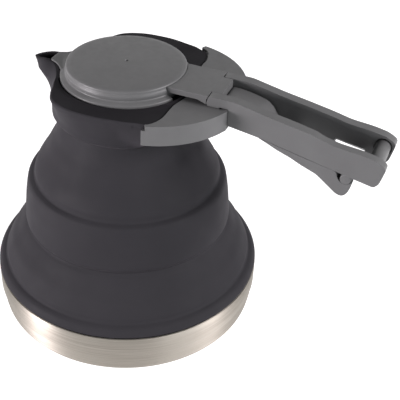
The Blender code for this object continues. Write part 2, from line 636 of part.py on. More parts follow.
def make_lid():
    top = [
        (VENT_RADIUS, LID_TOP), (LID_RADIUS / 2, LID_TOP - DOME / 4),
        (LID_RADIUS - SHELL_WALL, LID_TOP - DOME),
        (LID_RADIUS - EDGE, LID_TOP - DOME - EDGE), (LID_RADIUS, LID_TOP - DOME - SHELL_WALL),
        (LID_RADIUS, FLANGE_TOP + SHELL_WALL),
        (LID_RADIUS + EDGE, FLANGE_TOP + EDGE), (FLANGE_RADIUS - EDGE, FLANGE_TOP),
        (FLANGE_RADIUS, FLANGE_TOP - EDGE), (FLANGE_RADIUS, FLANGE_BOTTOM),
        (LID_RADIUS - SHELL_WALL, FLANGE_BOTTOM),
        (LID_RADIUS - SHELL_WALL, LID_TOP - DOME - 2 * SHELL_WALL), (VENT_RADIUS, LID_TOP - SHELL_WALL),
    ]
    shell = turned("lid_shell", top, PLASTIC)
    beak = [
        (-BEAK_ROOT, -BEAK_ROOT_HALF), (-BEAK_ROOT, BEAK_ROOT_HALF), (-BEAK_REACH + BEAK_HALF, BEAK_HALF),
        (-BEAK_REACH, BEAK_HALF / 2), (-BEAK_REACH, -BEAK_HALF / 2), (-BEAK_REACH + BEAK_HALF, -BEAK_HALF),
    ]
    join(shell, prism("beak_shape", beak, FLANGE_BOTTOM + GAP, FLANGE_TOP - EDGE))
    half = KEEPER_HALF + GAP
    clear = [(KEEPER_FRONT, -half), (BODY_RADIUS, -half), (BODY_RADIUS, half), (KEEPER_FRONT, half)]
    window = prism("keeper_window", clear, FLANGE_BOTTOM - GAP, LID_TOP + GAP)
    fine = 2 * ROUND_STEPS
    cut(window, rod("window_core", LID_RADIUS + GAP / 2, (0, 0, 0), (0, 0, LID_TOP * 2), steps=fine))
    cut(shell, window)
    seat = FLANGE_BOTTOM - GAP
    plug = [
        (0, PLUG_BOTTOM), (PLUG_RADIUS, PLUG_BOTTOM), (PLUG_RADIUS, GROOVE_LOW),
        (PLUG_RADIUS - GROOVE_DEPTH, GROOVE_LOW), (PLUG_RADIUS - GROOVE_DEPTH, GROOVE_HIGH),
        (PLUG_RADIUS, GROOVE_HIGH), (PLUG_RADIUS, seat), (PLUG_RADIUS - PLUG_WALL * 2, seat),
        (PLUG_RADIUS - PLUG_WALL * 2, PLUG_BOTTOM + PLUG_WALL), (0, PLUG_BOTTOM + PLUG_WALL),
    ]
    turned("lid_plug", plug, PLASTIC, FINE_STEPS)
    gasket = [(MOUTH_RADIUS - GAP, GROOVE_LOW + GAP), (MOUTH_RADIUS - GAP, GROOVE_HIGH - GAP)]
    thickness = MOUTH_RADIUS - PLUG_RADIUS + GROOVE_DEPTH - 2 * GAP
    turned("lid_gasket", walled(gasket, thickness), SEAL, FINE_STEPS)


clear_scene()
KETTLE = collection("collapsible_kettle")
CUTTERS = collection("kettle_cutters")
CUTTERS.hide_render = True
STEEL = material("brushed_steel", (0.62, 0.6, 0.57), 0.32, 1.0)
ALUMINIUM = material("aluminium", (0.7, 0.7, 0.7), 0.4, 1.0)
SILICONE = material("charcoal_silicone", (0.055, 0.052, 0.058), 0.7)
SEAL = material("grey_seal", (0.3, 0.3, 0.3), 0.7)
PLASTIC = material("grey_plastic", (0.15, 0.15, 0.15), 0.5)
LATCH = material("dark_grey_plastic", (0.12, 0.12, 0.12), 0.5)
make_base()
make_folds()
neck_piece, hoop_piece = make_neck()
make_collar(neck_piece, hoop_piece)
make_handle()
make_latch()
make_lid()
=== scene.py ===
"""Dresses the collapsible kettle.

Silicone tiers, steel pan, plastic collar, lid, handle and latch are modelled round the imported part.
"""

import math

import bpy
from mathutils import Matrix, Vector


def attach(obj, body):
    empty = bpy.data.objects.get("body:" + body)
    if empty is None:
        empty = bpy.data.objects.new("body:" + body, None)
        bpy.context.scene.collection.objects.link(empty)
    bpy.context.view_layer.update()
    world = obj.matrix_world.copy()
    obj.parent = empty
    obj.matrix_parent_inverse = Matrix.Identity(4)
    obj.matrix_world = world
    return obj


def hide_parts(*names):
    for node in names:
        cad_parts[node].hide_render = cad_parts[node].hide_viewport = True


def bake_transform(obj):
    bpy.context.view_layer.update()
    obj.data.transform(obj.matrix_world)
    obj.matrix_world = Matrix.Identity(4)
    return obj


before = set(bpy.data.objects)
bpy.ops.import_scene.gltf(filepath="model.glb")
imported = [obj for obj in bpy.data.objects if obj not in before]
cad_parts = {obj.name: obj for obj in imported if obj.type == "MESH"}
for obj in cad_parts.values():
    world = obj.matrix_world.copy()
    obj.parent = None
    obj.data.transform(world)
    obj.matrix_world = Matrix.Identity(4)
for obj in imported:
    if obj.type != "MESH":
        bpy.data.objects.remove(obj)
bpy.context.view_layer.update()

MM = 0.001
SIDES = 160  # of a round piece
FINE_SIDES = 192  # of a round cut round the lid
SHARP = 35  # degrees between two faces from which their edge is sharp
MERGE = 0.002 * MM  # points closer than this become one
CORNER_SHARE = 0.48  # the most of a side that the rounding of one corner takes
PIN_HOLE = 1.8 * MM  # radius of the holes for the hinge pins

# The two sides of the kettle as the photograph shows them, by the sign of Y
NEAR, FAR = -1, 1


# Modelling helpers


def in_mm(points):
    return [(across * MM, up * MM) for across, up in points]


def on_side(side, inner, outer):
    """Two distances in mm from the middle plane as Y on one side, the lower first."""
    return sorted((side * inner * MM, side * outer * MM))


def clear_selection():
    bpy.ops.object.select_all(action="DESELECT")


def pick(piece):
    clear_selection()
    piece.select_set(True)
    bpy.context.view_layer.objects.active = piece


def settle(piece, angle=SHARP):
    """Faces outwards, doubles merged, soft shading between the sharp edges."""
    pick(piece)
    bpy.ops.object.mode_set(mode="EDIT")
    bpy.ops.mesh.select_all(action="SELECT")
    bpy.ops.mesh.remove_doubles(threshold=MERGE)
    bpy.ops.mesh.normals_make_consistent(inside=False)
    bpy.ops.object.mode_set(mode="OBJECT")
    bpy.ops.object.shade_smooth_by_angle(angle=math.radians(angle))
    return piece


def sharp_edges(mesh, angle):
    """The edges at which two faces meet at more than the angle."""
    normals = {}
    for face in mesh.polygons:
        for key in face.edge_keys:
            normals.setdefault(key, []).append(face.normal.copy())
    found = set()
    for line in mesh.edges:
        sides = normals.get(tuple(sorted(line.vertices)), [])
        if len(sides) == 2 and sides[0].angle(sides[1], 0.0) > angle:
            found.add(line.index)
    return found


def soften(piece, width, segments=3, share=None):
    """Rounds the piece's sharp edges. A share by place makes some of the edges finer."""
    pick(piece)
    edge = piece.modifiers.new("rounded edges", "BEVEL")
    edge.width = width
    edge.segments = segments
    edge.limit_method = "ANGLE"
    edge.angle_limit = math.radians(SHARP)
    if share:
        edge.limit_method = "WEIGHT"
        edge.use_clamp_overlap = True
        sharp = sharp_edges(piece.data, math.radians(SHARP))
        weights = piece.data.attributes.new("bevel_weight_edge", "FLOAT", "EDGE")
        for line in piece.data.edges:
            if line.index in sharp:
                a, b = (piece.data.vertices[i].co for i in line.vertices)
                weights.data[line.index].value = share((a + b) / 2)
    bpy.ops.object.modifier_apply(modifier=edge.name)
    return piece


def combine(piece, other, operation):
    """Joins the other piece to this one, or cuts it out. The other piece is used up."""
    pick(piece)
    change = piece.modifiers.new(operation.lower(), "BOOLEAN")
    change.operation = operation
    change.solver = "EXACT"
    change.object = other
    bpy.ops.object.modifier_apply(modifier=change.name)
    bpy.data.objects.remove(other, do_unlink=True)
    return piece


def rounded(points, sizes, steps=4, closed=False):
    """The outline with each corner of a given size eased into an arc with that many steps."""
    done = []
    count = len(points)
    for i, point in enumerate(points):
        size = sizes[i] if isinstance(sizes, (list, tuple)) else sizes
        if size == 0 or (not closed and i in (0, count - 1)):
            done.append(point)
            continue
        here = Vector(point)
        before = Vector(points[i - 1]) - here
        after = Vector(points[(i + 1) % count]) - here
        reach = min(size, CORNER_SHARE * before.length, CORNER_SHARE * after.length)
        start = here + before.normalized() * reach
        end = here + after.normalized() * reach
        for k in range(steps + 1):
            t = k / steps
            spot = start * (1 - t) ** 2 + here * 2 * t * (1 - t) + end * t * t
            done.append((spot.x, spot.y))
    return done


def flowing(points, steps=4):
    """A smooth line through the points."""
    done = []
    for i in range(len(points) - 1):
        b, c = Vector(points[i]), Vector(points[i + 1])
        a = Vector(points[i - 1]) if i else b * 2 - c
        d = Vector(points[i + 2]) if i + 2 < len(points) else c * 2 - b
        for k in range(steps):
            t = k / steps
            spot = 0.5 * (
                2 * b
                + (c - a) * t
                + (2 * a - 5 * b + 4 * c - d) * t**2
                + (3 * b - a - 3 * c + d) * t**3
            )
            done.append((spot.x, spot.y))
    done.append(tuple(points[-1]))
    return done


def between(value, inputs, outputs):
    """The value of a smooth line through the table, level at both ends."""
    slopes = [0.0]
    for i in range(1, len(inputs) - 1):
        slopes.append((outputs[i + 1] - outputs[i - 1]) / (inputs[i + 1] - inputs[i - 1]))
    slopes.append(0.0)
    for i in range(len(inputs) - 1):
        if value <= inputs[i + 1]:
            width = inputs[i + 1] - inputs[i]
            t = (value - inputs[i]) / width
            return (
                outputs[i] * (1 + 2 * t) * (1 - t) ** 2
                + slopes[i] * width * t * (1 - t) ** 2
                + outputs[i + 1] * t * t * (3 - 2 * t)
                - slopes[i + 1] * width * t * t * (1 - t)
            )
    return outputs[-1]


def ease(value, start, end):
    """Rises smoothly from 0 at the start to 1 at the end."""
    t = min(max((value - start) / (end - start), 0), 1)
    return t * t * (3 - 2 * t)


def drawn_round(name, section, sides=SIDES, closed=True, smooth=SHARP):
    """A round piece: a ring drawn out ring by ring, then eased onto the section at each angle.

    A point of the section is a radius and a height, and a turn where it leaves its own angle.
    """
    outline = section if callable(section) else lambda angle: section
    rings = len(outline(0.0))
    clear_selection()
    bpy.ops.mesh.primitive_circle_add(vertices=sides, radius=1.0)
    piece = bpy.context.object
    piece.name = piece.data.name = name
    bpy.ops.object.mode_set(mode="EDIT")
    bpy.ops.mesh.select_all(action="SELECT")
    for _ in range(rings - 1):
        bpy.ops.mesh.extrude_edges_move(TRANSFORM_OT_translate={"value": (0, 0, 1)})
    bpy.ops.object.mode_set(mode="OBJECT")
    sections = {}
    for vertex in piece.data.vertices:
        angle = math.atan2(vertex.co.y, vertex.co.x)
        key = round(angle, 5)
        if key not in sections:
            sections[key] = outline(angle)
        radius, height, *turn = sections[key][round(vertex.co.z)]
        if turn:
            angle = turn[0]
        vertex.co = (radius * math.cos(angle), radius * math.sin(angle), height)
    bpy.ops.object.mode_set(mode="EDIT")
    bpy.ops.mesh.select_mode(type="EDGE")
    bpy.ops.mesh.select_all(action="DESELECT")
    bpy.ops.mesh.select_non_manifold(
        extend=False, use_wire=False, use_multi_face=False, use_non_contiguous=False
    )
    if closed:
        bpy.ops.mesh.bridge_edge_loops()
    else:
        bpy.ops.mesh.fill_holes(sides=0)
    bpy.ops.object.mode_set(mode="OBJECT")
    return settle(piece, smooth)


def plate(name, outline, low, high, upright=True):
    """A slab: the outline laid down as one face, then drawn out to its thickness."""
    clear_selection()
    bpy.ops.mesh.primitive_circle_add(vertices=len(outline), radius=1.0, fill_type="NGON")
    piece = bpy.context.object
    piece.name = piece.data.name = name
    for vertex, (along, up) in zip(piece.data.vertices, outline):
        vertex.co = (along, low, up) if upright else (along, up, low)
    bpy.ops.object.mode_set(mode="EDIT")
    bpy.ops.mesh.select_all(action="SELECT")
    way = (0, high - low, 0) if upright else (0, 0, high - low)
    bpy.ops.mesh.extrude_region_move(TRANSFORM_OT_translate={"value": way})
    bpy.ops.object.mode_set(mode="OBJECT")
    return settle(piece)


def bar(name, radius, x, z, low, high, sides=48, edge=0.0):
    """A round bar along Y."""
    clear_selection()
    bpy.ops.mesh.primitive_cylinder_add(
        vertices=sides,
        radius=radius,
        depth=high - low,
        location=(x, (low + high) / 2, z),
        rotation=(math.pi / 2, 0, 0),
    )
    piece = bpy.context.object
    piece.name = piece.data.name = name
    bpy.ops.object.transform_apply(location=True, rotation=True, scale=True)
    if edge:
        soften(piece, edge)
    return settle(piece)


def upright_bar(radius, depth):
    """A round bar on the kettle's axis, through the lid's height, to cut with."""
    clear_selection()
    bpy.ops.mesh.primitive_cylinder_add(
        vertices=FINE_SIDES, radius=radius, depth=depth, location=(0, 0, 200 * MM)
    )
    return bpy.context.object


def turned_box(reach, turn, height, size):
    """A box at a distance and an angle from the kettle's axis, to cut with."""
    clear_selection()
    bpy.ops.mesh.primitive_cube_add(
        size=1,
        location=(reach * math.cos(turn), reach * math.sin(turn), height),
        rotation=(0, 0, turn),
    )
    piece = bpy.context.object
    piece.scale = size
    bpy.ops.object.transform_apply(location=True, rotation=True, scale=True)
    return piece


# Finishes

NOISE_LOW, NOISE_HIGH = 0.3, 0.7  # most of a noise lies between these values
GRAIN_DEPTH = 0.1 * MM


def new_finish(name):
    made = bpy.data.materials.new(name)
    made.use_nodes = True
    tree = made.node_tree
    return made, tree, tree.nodes["Principled BSDF"]


def noise(tree, scale, detail, stretch=None, rough=0.5):
    """Noise that stays with the piece."""
    place = tree.nodes.new("ShaderNodeTexCoord")
    grain = tree.nodes.new("ShaderNodeTexNoise")
    grain.inputs["Scale"].default_value = scale
    grain.inputs["Detail"].default_value = detail
    grain.inputs["Roughness"].default_value = rough
    if stretch:
        mapping = tree.nodes.new("ShaderNodeMapping")
        mapping.inputs["Scale"].default_value = stretch
        tree.links.new(place.outputs["Object"], mapping.inputs["Vector"])
        tree.links.new(mapping.outputs["Vector"], grain.inputs["Vector"])
    else:
        tree.links.new(place.outputs["Object"], grain.inputs["Vector"])
    return grain.outputs["Fac"]


def ramp(tree, value, low, high):
    """Turns a pattern into a run between two colours."""
    colours = tree.nodes.new("ShaderNodeValToRGB")
    first, last = colours.color_ramp.elements
    first.position = NOISE_LOW
    last.position = NOISE_HIGH
    first.color = (*low, 1)
    last.color = (*high, 1)
    tree.links.new(value, colours.inputs["Fac"])
    return colours.outputs["Color"]


def spread(tree, value, low, high):
    """Turns a pattern into a run between two numbers."""
    run = tree.nodes.new("ShaderNodeMapRange")
    run.inputs["From Min"].default_value = NOISE_LOW
    run.inputs["From Max"].default_value = NOISE_HIGH
    run.inputs["To Min"].default_value = low
    run.inputs["To Max"].default_value = high
    tree.links.new(value, run.inputs["Value"])
    return run.outputs["Result"]


def relief(tree, shader, value, strength):
    """Raises the pattern as a fine grain."""
    bump = tree.nodes.new("ShaderNodeBump")
    bump.inputs["Strength"].default_value = strength
    bump.inputs["Distance"].default_value = GRAIN_DEPTH
    tree.links.new(value, bump.inputs["Height"])
    tree.links.new(bump.outputs["Normal"], shader.inputs["Normal"])


def silicone_finish(name, dark, light, gloss=0.07):
    """Matt silicone: a soft bloom over a dark, slightly purple colour, and a very fine grain."""
    made, tree, shader = new_finish(name)
    tree.links.new(ramp(tree, noise(tree, 14.0, 4.0), dark, light), shader.inputs["Base Color"])
    tree.links.new(spread(tree, noise(tree, 60.0, 3.0), 0.6, 0.72), shader.inputs["Roughness"])
    shader.inputs["Specular IOR Level"].default_value = gloss
    shader.inputs["Sheen Weight"].default_value = 0.02
    shader.inputs["Sheen Roughness"].default_value = 0.5
    shader.inputs["Sheen Tint"].default_value = (1.0, 0.86, 1.0, 1)
    relief(tree, shader, noise(tree, 1500.0, 2.0), 0.12)
    return made


def plastic_finish(name, dark, light, roughness=0.42):
    """Spark-eroded nylon: even grey, faintly mottled, with a fine pebbled skin."""
    made, tree, shader = new_finish(name)
    tree.links.new(ramp(tree, noise(tree, 40.0, 5.0), dark, light), shader.inputs["Base Color"])
    matt = spread(tree, noise(tree, 220.0, 3.0), roughness - 0.05, roughness + 0.07)
    tree.links.new(matt, shader.inputs["Roughness"])
    shader.inputs["Specular IOR Level"].default_value = 0.34
    relief(tree, shader, noise(tree, 1900.0, 2.0), 0.16)
    return made


def brushed_finish(name, dark, light, roughness=0.48, streak=0.9):
    """Metal brushed round the body: fine level lines, and highlights drawn out upright."""
    made, tree, shader = new_finish(name)
    lines = noise(tree, 1.0, 3.0, (14.0, 14.0, 2600.0), 0.6)
    tree.links.new(ramp(tree, lines, dark, light), shader.inputs["Base Color"])
    matt = spread(tree, lines, roughness - 0.05, roughness + 0.08)
    tree.links.new(matt, shader.inputs["Roughness"])
    shader.inputs["Metallic"].default_value = 1.0
    shader.inputs["Anisotropic"].default_value = streak
    shader.inputs["Anisotropic Rotation"].default_value = 0.25
    relief(tree, shader, lines, 0.12)
    return made


CHARCOAL = silicone_finish("charcoal silicone", (0.028, 0.0273, 0.0306), (0.033, 0.0318, 0.0354))
# The charcoal silicone painted darker: painted shade for the crown under the lid and for the inside
# of the mouth
CROWN_SHADE_CHARCOAL = silicone_finish(
    "charcoal silicone in painted crown shade", (0.012, 0.0118, 0.0132), (0.0145, 0.0142, 0.0158), 0.06
)
SEAL = silicone_finish("grey seal", (0.2, 0.2, 0.2), (0.26, 0.26, 0.26))
GREY = plastic_finish("grey plastic", (0.115, 0.116, 0.1165), (0.129, 0.131, 0.131))
INNER_GREY = plastic_finish("inner grey plastic", (0.09, 0.09, 0.09), (0.105, 0.105, 0.105), 0.55)
STEEL = brushed_finish("brushed steel", (0.24, 0.218, 0.188), (0.39, 0.362, 0.322))
PLAIN_STEEL = brushed_finish("plain steel", (0.45, 0.45, 0.44), (0.6, 0.6, 0.58), 0.28, 0.0)
ALUMINIUM = brushed_finish("machined aluminium", (0.5, 0.5, 0.5), (0.65, 0.65, 0.65), 0.36, 0.0)


def dress(piece, finish, body, slot, *nodes):
    """Gives a finished piece its material, its body and the nodes that it stands for.
    """
    piece.data.materials.clear()
    piece.data.materials.append(finish)
    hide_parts(*nodes)
    if body:
        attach(piece, body)


# The steel pan

PAN_WALL = 1.0 * MM
PAN_FLOOR = 1.6 * MM


def make_pan():
    foot = in_mm([
        (84, 0.6), (92.2, 0.6), (96.9, 1.7), (99.6, 4.1), (100.8, 9.1), (101.4, 14.4),
        (101.7, 18.7),
    ])
    outer = flowing(foot) + in_mm([(102.5, 20.1), (102.5, 28), (102.5, 35.6), (102.3, 36.0)])
    inner = [(x - PAN_WALL, max(z, PAN_FLOOR)) for x, z in outer[:4:-1]]
    inner += in_mm([(84.6, 1.6), (80.3, 3.7), (0.5, 3.7)])
    under = in_mm([(0.5, 2.7), (82.6, 2.7), (82.6, 0.6)])
    pan = drawn_round("steel_pan", under + outer + inner)
    dress(pan, STEEL, "base", "pan", "steel_base_pan")
    section = in_mm([(0.5, 0), (81.7, 0), (82.2, 0.5), (82.2, 2.4), (0.5, 2.4)])
    disc = drawn_round("heat_disc", rounded(section, 0.4 * MM), closed=False)
    dress(disc, ALUMINIUM, "base", "heat_disc", "base_heat_disc")


# The folding silicone body

WALL = 2.9 * MM
LIP_POINTS = 8  # of the base tier's outer line that stand over its lip


def inner_side(outer):
    """The way back along the inner side of a wall."""
    return [(x - WALL, z) for x, z in reversed(outer)]


def make_base_tier():
    tier = [
        (102.3, 37.9), (102.2, 39.3), (101.4, 41.2), (100, 43.2), (98.2, 44.5), (96.7, 45.3),
        (95.8, 46.5),
    ]
    web = [
        (95.4, 47.9), (94.9, 49.6), (92.6, 54.4), (89.6, 60), (85.1, 66), (82.0, 70.6),
        (79.7, 73.9), (78.1, 75.8), (77.3, 77.3),
    ]
    lip = in_mm([(98.2, 36.3), (98.2, 28.5), (99.9, 28.5), (99.9, 37.1), (101.9, 37.4)])
    outer = flowing(in_mm(tier + web))
    section = outer + inner_side(outer[LIP_POINTS:]) + lip
    piece = drawn_round("silicone_base_tier_and_web", section)
    dress(piece, CHARCOAL, None, "silicone", "silicone_base_tier", "silicone_lower_web")
    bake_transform(piece)


def make_middle_tier():
    tier = [
        (77.25, 77.35), (77.5, 78.4), (78.5, 80.3), (78.5, 84), (77.65, 92), (76.8, 100),
        (75.9, 106), (75.35, 109.4), (74.7, 112.2), (73.5, 114.3), (71.7, 115.5), (70.2, 116.3),
    ]
    web = [
        (69.4, 117.6), (69.1, 119.3), (68.8, 121.2), (67.4, 124.6), (64.3, 130), (59.9, 137),
        (56.2, 144), (52.7, 150.3), (50.05, 157.2), (47.6, 164.1),
    ]
    outer = flowing(in_mm(tier + web))
    piece = drawn_round("silicone_middle_tier_and_web", outer + inner_side(outer))
    dress(piece, CHARCOAL, None, "silicone", "silicone_middle_tier", "silicone_upper_web")
    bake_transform(piece)


# The neck, its lip and spout. The angles in these tables are in degrees from the handle.

BODY_RADIUS = 102.5 * MM
NECK_LOW = 164.3 * MM
NECK_TOP = 196.2 * MM
NECK_SIDES = 288
CREASE = 47.5 * MM  # radius at the fold below the neck
BAND = 53.3 * MM  # radius at the top of the neck's straight band
LID_SEAT = 47.63 * MM  # radius
MOUTH = 42.43 * MM  # radius
RIM_WALL = 2.5 * MM
CROWN_DIP = 0.9 * MM  # of the crown at the lid
TIP_DIP = 2.4 * MM  # of the rim at the spout's tip
CROWN_LOW = 185 * MM  # above this the faces that look in or up get the painted shade
LEVEL_FACE = 0.95  # a face whose normal rises more than this looks up

# The neck's outer radius, as a share of the body's
NECK_ANGLES = (
    0, 8, 15, 23, 31, 38, 42, 47, 54, 60, 67, 75,
    90, 105, 118, 127, 134, 141, 148, 154, 160, 166, 173, 180,
)
NECK_SHARES = (
    0.493, 0.496, 0.504, 0.512, 0.531, 0.576, 0.612, 0.652, 0.682, 0.658, 0.643, 0.628,
    0.618, 0.622, 0.608, 0.566, 0.531, 0.518, 0.514, 0.523, 0.543, 0.583, 0.646, 0.688,
)
FULLER = 1.8 * MM  # the far side's swelling beside the lid
SLIMMER = 4.6 * MM  # the far side's hollow at the wing

# Where the spout's rim draws together: its turn from the handle and its distance from the axis
RIM_ANGLES = (0, 118, 129, 135, 141, 148, 154, 160, 164, 168, 171, 174, 177, 180)
RIM_AZIMUTHS = (0, 118, 129, 135, 142, 150, 159, 167, 171.3, 172.9, 173.9, 175.2, 177.2, 180)
RIM_REACH = (50, 61.2, 56.2, 53, 50.3, 48.9, 49.5, 52, 55.2, 59.5, 63.5, 67.5, 71.2, 73.4)

# Spans of angle over which the neck changes
FREE_SPAN = (52, 72)  # the wall comes out of the collar
SOFT_SPAN = (60, 72)  # the crown's edge gets rounder
LEAN_SPAN = (130, 147)  # the wall leans in to the spout's rim
TROUGH_SPAN = (139, 150)  # the lip becomes the trough's wall
TIP_SPAN = (168, 180)  # the rim sinks to the tip

# Heights in the wall as shares of its rise, and how far it has widened there
OUTER_LEVELS = (0, 0.03, 0.06, 0.09, 0.12, 0.157, 0.2, 0.3, 0.42, 0.555, 0.7, 0.85, 1)
INNER_LEVELS = (0.7, 0.555, 0.3, 0.157, 0.09, 0)
BAND_LEVELS, BAND_SHARES = (0, 0.05, 0.11, 0.157, 0.2, 1), (0, 0.42, 0.86, 1, 1.02, 1)
FLARE_LEVELS, FLARE_SHARES = (0.157, 0.555, 0.78, 1), (0, 0.37, 0.68, 1)
COLLAR_LEVEL = 0.56  # from here up the collar holds the wall at its full radius
SHOULDER_PARTS = (0.2, 0.4, 0.6, 0.8, 0.93, 1)  # of the quarter turn onto the crown


def neck_radius(angle):
    """The neck's outer radius at an angle in radians. The far side differs a little."""
    degrees = math.degrees(angle)
    change = FULLER * ease(degrees, 62, 88) * (1 - ease(degrees, 122, 140))
    change -= SLIMMER * ease(degrees, 22, 38) * (1 - ease(degrees, 48, 66))
    return BODY_RADIUS * between(abs(degrees), NECK_ANGLES, NECK_SHARES) + change


def rim_point(degrees):
    azimuth = math.radians(between(degrees, RIM_ANGLES, RIM_AZIMUTHS))
    reach = between(degrees, RIM_ANGLES, RIM_REACH) * MM
    return Vector((reach * math.cos(azimuth), reach * math.sin(azimuth)))


def inner_rim(degrees):
    """The inner edge of the spout's rim: its distance from the axis and its azimuth."""
    along = rim_point(min(degrees + 1, 180)) - rim_point(degrees - 1)
    inward = Vector((-along.y, along.x)).normalized()
    spot = rim_point(degrees) + inward * RIM_WALL
    return spot.length, abs(math.atan2(spot.y, spot.x))


def neck_section(angle):
    """The wall, crown, lid seat and lip at an angle in radians.

    Towards the spout the wall leans in to a narrow rim, and the lip dies away.
    """
    way = -1 if angle < 0 else 1
    around = abs(angle)
    degrees = math.degrees(around)
    widest = neck_radius(angle)
    lean = ease(degrees, *LEAN_SPAN)
    soft = ease(degrees, *SOFT_SPAN)
    trough = ease(degrees, *TROUGH_SPAN)
    held_share = 1 - ease(degrees, *FREE_SPAN)
    crown = NECK_TOP - TIP_DIP * ease(degrees, *TIP_SPAN)
    shoulder = crown - (1.1 + 0.5 * soft * (1 - lean) + 6.2 * lean) * MM
    rise = shoulder - NECK_LOW
    crown_edge = widest - (1.1 + 0.7 * soft) * MM
    rim = crown_edge * (1 - lean) + between(degrees, RIM_ANGLES, RIM_REACH) * MM * lean
    azimuth = math.radians(between(degrees, RIM_ANGLES, RIM_AZIMUTHS))
    rim_turn = azimuth * lean + around * (1 - lean)
    inside, inside_turn = inner_rim(degrees) if degrees > LEAN_SPAN[0] else (rim, around)

    def wall(height):
        """The outer radius of the wall, free above its band or held in the collar."""
        level = (height - NECK_LOW) / rise
        low = between(level, BAND_LEVELS, BAND_SHARES)
        top = between(level, FLARE_LEVELS, FLARE_SHARES)
        free = CREASE + (BAND - CREASE) * low + (widest - BAND) * top
        held = CREASE + (widest - CREASE) * min(level / COLLAR_LEVEL, 1)
        return free * (1 - held_share) + held * held_share

    def lip(radius, height, deep):
        """A point of the lip, which turns into the trough's wall at the spout."""
        far = inside * (1 - deep) + (wall(height) - WALL * 1.15) * deep
        far_turn = inside_turn * (1 - deep) + around * deep
        turn = around * (1 - trough) + far_turn * trough
        return (radius * (1 - trough) + far * trough, height, way * turn)

    points = []
    for level in OUTER_LEVELS:
        height = NECK_LOW + rise * level
        points.append((wall(height), height, angle))
    for part in SHOULDER_PARTS:
        quarter = math.radians(90 * part)
        inward = (1 - math.cos(quarter)) * (1 - lean) + part**1.2 * lean
        upward = math.sin(quarter) * (1 - lean) + (0.5 * part + 0.5 * math.sin(quarter)) * lean
        reach = widest + (rim - widest) * inward
        height = shoulder + (crown - shoulder) * upward
        points.append((reach, height, way * (around + (rim_turn - around) * inward)))
    dip = CROWN_DIP * (1 - lean)
    points.append(lip(LID_SEAT + 0.5 * MM, crown - dip, 0))
    points.append(lip(LID_SEAT, crown - dip - 0.5 * MM, 0.05))
    points.append(lip(LID_SEAT, crown - 3 * MM, 0.4))
    points.append(lip(MOUTH, crown - 3.3 * MM, 0.45))
    points.append(lip(MOUTH, crown - 5.5 * MM, 0.8))
    height = crown - 7 * MM
    points.append((wall(height) - WALL, height, angle))
    for level in INNER_LEVELS:
        height = NECK_LOW + rise * level
        points.append((wall(height) - WALL, height, angle))
    return points


SLIT_TURNS = {NEAR: 61.4, FAR: 66}
SLIT_SIZE = (1.6 * MM, 0.5 * MM, 12.5 * MM)


def make_neck():
    piece = drawn_round("silicone_neck_and_spout", neck_section, sides=NECK_SIDES)
    for side in (NEAR, FAR):
        turn = side * math.radians(SLIT_TURNS[side])
        slit = turned_box(neck_radius(turn), turn, 187.5 * MM, SLIT_SIZE)
        combine(piece, slit, "DIFFERENCE")
    dress(settle(piece), CHARCOAL, "neck", "silicone", "silicone_neck")
    # The crown's up-facing faces and the faces inside the mouth take painted shade: the darker
    # silicone stands for the shade under the lid and inside the neck
    piece.data.materials.append(CROWN_SHADE_CHARCOAL)
    for face in piece.data.polygons:
        inward = face.normal.x * face.center.x + face.normal.y * face.center.y < 0
        if face.center.z > CROWN_LOW and (inward or face.normal.z > LEVEL_FACE):
            face.material_index = 1


# Collar, tongue and keeper plate

HINGE_X = 72.498 * MM
HINGE_Z = 199.6 * MM
ARM_REACH = 118.0 * MM  # from the hinge to the arms' end
TONGUE_HALF = 10.0 * MM
KEEPER_HALF = 18.7 * MM
COLLAR_GAP = 1.05 * MM  # between the collar and the neck
COLLAR_CENTRE = 22.5 * MM  # of the outer edge's arc, on X
COLLAR_RADIUS = 63.2 * MM
COLLAR_BACK = 82.3 * MM  # the arcs of the outer edge end here, on X

# Where the collar's wings end at the neck, at their outer edge and at the step in their tips
WING_INNER_ENDS = {NEAR: 56.25, FAR: 60}
WING_OUTER_ENDS = {NEAR: 57.5, FAR: 61.2}
WING_STEPS = {NEAR: 57.2, FAR: 62.5}
STEP_SIZE = (12 * MM, 5 * MM, 6 * MM)


def from_hinge(shares):
    """Points given in shares of the arms' reach from the handle's hinge."""
    return [(HINGE_X + ARM_REACH * along, HINGE_Z + ARM_REACH * up) for along, up in shares]


def wing_outline(side):
    """Half of the collar: along the neck, round the wing's tip and back along the outer edge."""
    half = []
    inner_steps, outer_steps = 22, 40
    for i in range(inner_steps + 1):
        angle = math.radians(WING_INNER_ENDS[side]) * i / inner_steps
        reach = neck_radius(side * angle) + COLLAR_GAP
        half.append((reach * math.cos(angle), side * reach * math.sin(angle)))
    wing = math.radians(WING_OUTER_ENDS[side])
    lean = COLLAR_CENTRE * math.cos(wing)
    reach = lean + math.sqrt(lean**2 + COLLAR_RADIUS**2 - COLLAR_CENTRE**2)
    start = math.atan2(reach * math.sin(wing), reach * math.cos(wing) - COLLAR_CENTRE)
    end = math.acos((COLLAR_BACK - COLLAR_CENTRE) / COLLAR_RADIUS)
    for i in range(outer_steps + 1):
        angle = start + (end - start) * i / outer_steps
        x = COLLAR_CENTRE + COLLAR_RADIUS * math.cos(angle)
        half.append((x, side * COLLAR_RADIUS * math.sin(angle)))
    return half


